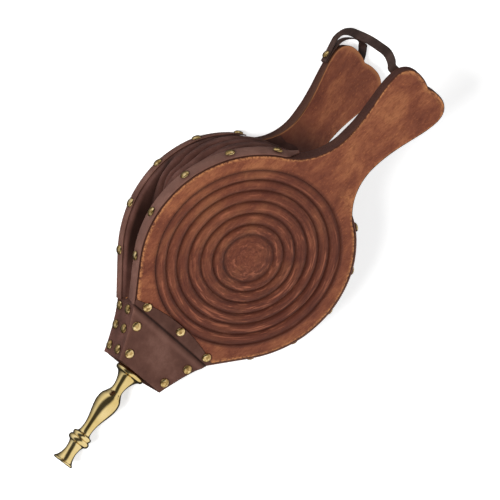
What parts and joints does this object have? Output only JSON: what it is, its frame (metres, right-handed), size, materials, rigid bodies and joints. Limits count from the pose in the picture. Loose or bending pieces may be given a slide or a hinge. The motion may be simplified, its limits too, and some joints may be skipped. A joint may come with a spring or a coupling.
{
  "type": "hand bellows",
  "caption": "Hearth hand bellows: pear-shaped wooden boards with flared handles, joined by a folding leather gusset, with a turned brass nozzle.",
  "frame": {"origin": "middle of the rear board's round part, on its flat outer face", "axes": "+X to the handles, -X to the nozzle, +Z from the rear board to the turned front board, +Y to the side with the hanging loop"},
  "size_m": [0.51, 0.2224, 0.1397],
  "materials": {
    "wood": "reddish brown stained and waxed, worn along the edges",
    "trim_leather": "smooth matte brown leather",
    "gusset_leather": "thin matte dark brown leather with soft creases",
    "strap_leather": "very dark brown strap leather with cut edges",
    "valve_leather": "thick undyed leather",
    "nozzle_brass": "turned and polished",
    "tack_brass": "domed upholstery tacks, slightly dulled"
  },
  "bodies": {
    "rear_assembly": {"cheek_left_tack_1": "tack_brass", "cheek_left_tack_2": "tack_brass", "cheek_left_tack_3": "tack_brass", "cheek_left_tack_4": "tack_brass", "cheek_left_tack_5": "tack_brass", "cheek_left_tack_6": "tack_brass", "cheek_right_tack_1": "tack_brass", "cheek_right_tack_2": "tack_brass", "cheek_right_tack_3": "tack_brass", "cheek_right_tack_4": "tack_brass", "cheek_right_tack_5": "tack_brass", "cheek_right_tack_6": "tack_brass", "connecting_strap": "strap_leather", "gusset": "gusset_leather", "hanging_loop": "strap_leather", "loop_tack": "tack_brass", "nose_block": "wood", "nose_cover": "trim_leather", "nose_cover_tack_1": "tack_brass", "nose_cover_tack_2": "tack_brass", "nose_cover_tack_3": "tack_brass", "nose_cover_tack_4": "tack_brass", "nozzle": "nozzle_brass", "rear_band_left": "trim_leather", "rear_band_left_tack_1": "tack_brass", "rear_band_left_tack_2": "tack_brass", "rear_band_left_tack_3": "tack_brass", "rear_band_left_tack_4": "tack_brass", "rear_band_left_tack_5": "tack_brass", "rear_band_right": "trim_leather", "rear_band_right_tack_1": "tack_brass", "rear_band_right_tack_2": "tack_brass", "rear_band_right_tack_3": "tack_brass", "rear_band_right_tack_4": "tack_brass", "rear_band_right_tack_5": "tack_brass", "rear_board": "wood", "strap_tack_rear": "tack_brass", "valve_tab": "valve_leather", "valve_tack_1": "tack_brass", "valve_tack_2": "tack_brass"},
    "front_assembly": {"front_band_left": "trim_leather", "front_band_left_tack_1": "tack_brass", "front_band_left_tack_2": "tack_brass", "front_band_left_tack_3": "tack_brass", "front_band_left_tack_4": "tack_brass", "front_band_left_tack_5": "tack_brass", "front_band_right": "trim_leather", "front_band_right_tack_1": "tack_brass", "front_band_right_tack_2": "tack_brass", "front_band_right_tack_3": "tack_brass", "front_band_right_tack_4": "tack_brass", "front_band_right_tack_5": "tack_brass", "front_board": "wood", "hinge_leather": "trim_leather", "hinge_leather_tack_1": "tack_brass", "hinge_leather_tack_2": "tack_brass", "hinge_leather_tack_3": "tack_brass", "strap_tack_front": "tack_brass"},
    "valve": {"valve_flap": "valve_leather"}
  },
  "joints": [
    {"name": "front_board_hinge", "type": "hinge", "parent": "rear_assembly", "child": "front_assembly", "pos_m": [-0.106, 0, 0.0369], "axis": [0, -1, 0], "range_deg": [-14, 11], "deforming": ["gusset", "connecting_strap"]},
    {"name": "valve_flap_hinge", "type": "hinge", "parent": "rear_assembly", "child": "valve", "pos_m": [0.008, 0, 0.0163], "axis": [0, -1, 0], "range_deg": [0, 12]}
  ]
}
